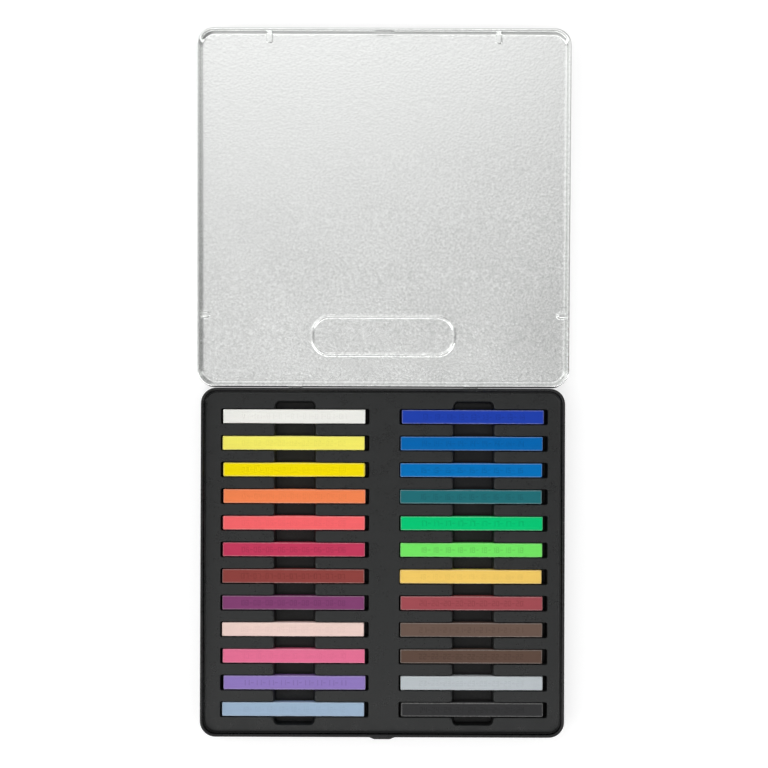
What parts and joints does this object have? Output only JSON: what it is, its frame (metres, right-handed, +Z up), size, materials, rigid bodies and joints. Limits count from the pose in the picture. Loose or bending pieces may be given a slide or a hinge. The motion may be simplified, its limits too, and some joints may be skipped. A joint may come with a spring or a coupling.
{
  "type": "pastel tin",
  "caption": "Flat hinged tin of square pastel sticks in a formed tray with finger channels, its lid laid open.",
  "frame": {"origin": "middle of the underside of the base", "axes": "+Z up, +Y from the base towards the hinge and the open lid, +X to the right"},
  "size_m": [0.189, 0.3587, 0.0157],
  "materials": {
    "black_lacquer": "glossy black lacquer",
    "tinplate": "satin tinplate with a fine grain",
    "formed_plastic": "soft black vacuum-formed film",
    "01_white": "dry, chalky",
    "02_lemon": "dry, chalky",
    "03_yellow": "dry, chalky",
    "04_orange": "dry, chalky",
    "05_coral": "dry, chalky",
    "06_crimson": "dry, chalky",
    "07_brick": "dry, chalky",
    "08_purple": "dry, chalky",
    "09_blush": "dry, chalky",
    "10_rose": "dry, chalky",
    "11_lilac": "dry, chalky",
    "12_sky": "dry, chalky",
    "13_ultramarine": "dry, chalky",
    "14_blue": "dry, chalky",
    "15_azure": "dry, chalky",
    "16_teal": "dry, chalky",
    "17_emerald": "dry, chalky",
    "18_lime": "dry, chalky",
    "19_ochre": "dry, chalky",
    "20_russet": "dry, chalky",
    "21_umber": "dry, chalky",
    "22_sepia": "dry, chalky",
    "23_silver_grey": "dry, chalky",
    "24_black": "dry, chalky"
  },
  "bodies": {
    "base": {"base_tin": "black_lacquer"},
    "lid": {"lid": "tinplate"},
    "tray": {"stick_tray": "formed_plastic"},
    "pastel_01_white": {"pastel_01_white": "01_white"},
    "pastel_02_lemon": {"pastel_02_lemon": "02_lemon"},
    "pastel_03_yellow": {"pastel_03_yellow": "03_yellow"},
    "pastel_04_orange": {"pastel_04_orange": "04_orange"},
    "pastel_05_coral": {"pastel_05_coral": "05_coral"},
    "pastel_06_crimson": {"pastel_06_crimson": "06_crimson"},
    "pastel_07_brick": {"pastel_07_brick": "07_brick"},
    "pastel_08_purple": {"pastel_08_purple": "08_purple"},
    "pastel_09_blush": {"pastel_09_blush": "09_blush"},
    "pastel_10_rose": {"pastel_10_rose": "10_rose"},
    "pastel_11_lilac": {"pastel_11_lilac": "11_lilac"},
    "pastel_12_sky": {"pastel_12_sky": "12_sky"},
    "pastel_13_ultramarine": {"pastel_13_ultramarine": "13_ultramarine"},
    "pastel_14_blue": {"pastel_14_blue": "14_blue"},
    "pastel_15_azure": {"pastel_15_azure": "15_azure"},
    "pastel_16_teal": {"pastel_16_teal": "16_teal"},
    "pastel_17_emerald": {"pastel_17_emerald": "17_emerald"},
    "pastel_18_lime": {"pastel_18_lime": "18_lime"},
    "pastel_19_ochre": {"pastel_19_ochre": "19_ochre"},
    "pastel_20_russet": {"pastel_20_russet": "20_russet"},
    "pastel_21_umber": {"pastel_21_umber": "21_umber"},
    "pastel_22_sepia": {"pastel_22_sepia": "22_sepia"},
    "pastel_23_silver_grey": {"pastel_23_silver_grey": "23_silver_grey"},
    "pastel_24_black": {"pastel_24_black": "24_black"}
  },
  "joints": [
    {"name": "lid_hinge", "type": "hinge", "parent": "base", "child": "lid", "pos_m": [0, 0.08915, 0.0071], "axis": [-1, 0, 0], "range_deg": [-177.5, 0]},
    {"name": "tray_lift", "type": "slide", "parent": "base", "child": "tray", "axis": [0, 0, 1], "range_m": [0, 0.03]},
    {"name": "lift_01_white", "type": "slide", "parent": "tray", "child": "pastel_01_white", "axis": [0, 0, 1], "range_m": [0, 0.03]},
    {"name": "lift_02_lemon", "type": "slide", "parent": "tray", "child": "pastel_02_lemon", "axis": [0, 0, 1], "range_m": [0, 0.03]},
    {"name": "lift_03_yellow", "type": "slide", "parent": "tray", "child": "pastel_03_yellow", "axis": [0, 0, 1], "range_m": [0, 0.03]},
    {"name": "lift_04_orange", "type": "slide", "parent": "tray", "child": "pastel_04_orange", "axis": [0, 0, 1], "range_m": [0, 0.03]},
    {"name": "lift_05_coral", "type": "slide", "parent": "tray", "child": "pastel_05_coral", "axis": [0, 0, 1], "range_m": [0, 0.03]},
    {"name": "lift_06_crimson", "type": "slide", "parent": "tray", "child": "pastel_06_crimson", "axis": [0, 0, 1], "range_m": [0, 0.03]},
    {"name": "lift_07_brick", "type": "slide", "parent": "tray", "child": "pastel_07_brick", "axis": [0, 0, 1], "range_m": [0, 0.03]},
    {"name": "lift_08_purple", "type": "slide", "parent": "tray", "child": "pastel_08_purple", "axis": [0, 0, 1], "range_m": [0, 0.03]},
    {"name": "lift_09_blush", "type": "slide", "parent": "tray", "child": "pastel_09_blush", "axis": [0, 0, 1], "range_m": [0, 0.03]},
    {"name": "lift_10_rose", "type": "slide", "parent": "tray", "child": "pastel_10_rose", "axis": [0, 0, 1], "range_m": [0, 0.03]},
    {"name": "lift_11_lilac", "type": "slide", "parent": "tray", "child": "pastel_11_lilac", "axis": [0, 0, 1], "range_m": [0, 0.03]},
    {"name": "lift_12_sky", "type": "slide", "parent": "tray", "child": "pastel_12_sky", "axis": [0, 0, 1], "range_m": [0, 0.03]},
    {"name": "lift_13_ultramarine", "type": "slide", "parent": "tray", "child": "pastel_13_ultramarine", "axis": [0, 0, 1], "range_m": [0, 0.03]},
    {"name": "lift_14_blue", "type": "slide", "parent": "tray", "child": "pastel_14_blue", "axis": [0, 0, 1], "range_m": [0, 0.03]},
    {"name": "lift_15_azure", "type": "slide", "parent": "tray", "child": "pastel_15_azure", "axis": [0, 0, 1], "range_m": [0, 0.03]},
    {"name": "lift_16_teal", "type": "slide", "parent": "tray", "child": "pastel_16_teal", "axis": [0, 0, 1], "range_m": [0, 0.03]},
    {"name": "lift_17_emerald", "type": "slide", "parent": "tray", "child": "pastel_17_emerald", "axis": [0, 0, 1], "range_m": [0, 0.03]},
    {"name": "lift_18_lime", "type": "slide", "parent": "tray", "child": "pastel_18_lime", "axis": [0, 0, 1], "range_m": [0, 0.03]},
    {"name": "lift_19_ochre", "type": "slide", "parent": "tray", "child": "pastel_19_ochre", "axis": [0, 0, 1], "range_m": [0, 0.03]},
    {"name": "lift_20_russet", "type": "slide", "parent": "tray", "child": "pastel_20_russet", "axis": [0, 0, 1], "range_m": [0, 0.03]},
    {"name": "lift_21_umber", "type": "slide", "parent": "tray", "child": "pastel_21_umber", "axis": [0, 0, 1], "range_m": [0, 0.03]},
    {"name": "lift_22_sepia", "type": "slide", "parent": "tray", "child": "pastel_22_sepia", "axis": [0, 0, 1], "range_m": [0, 0.03]},
    {"name": "lift_23_silver_grey", "type": "slide", "parent": "tray", "child": "pastel_23_silver_grey", "axis": [0, 0, 1], "range_m": [0, 0.03]},
    {"name": "lift_24_black", "type": "slide", "parent": "tray", "child": "pastel_24_black", "axis": [0, 0, 1], "range_m": [0, 0.03]}
  ]
}
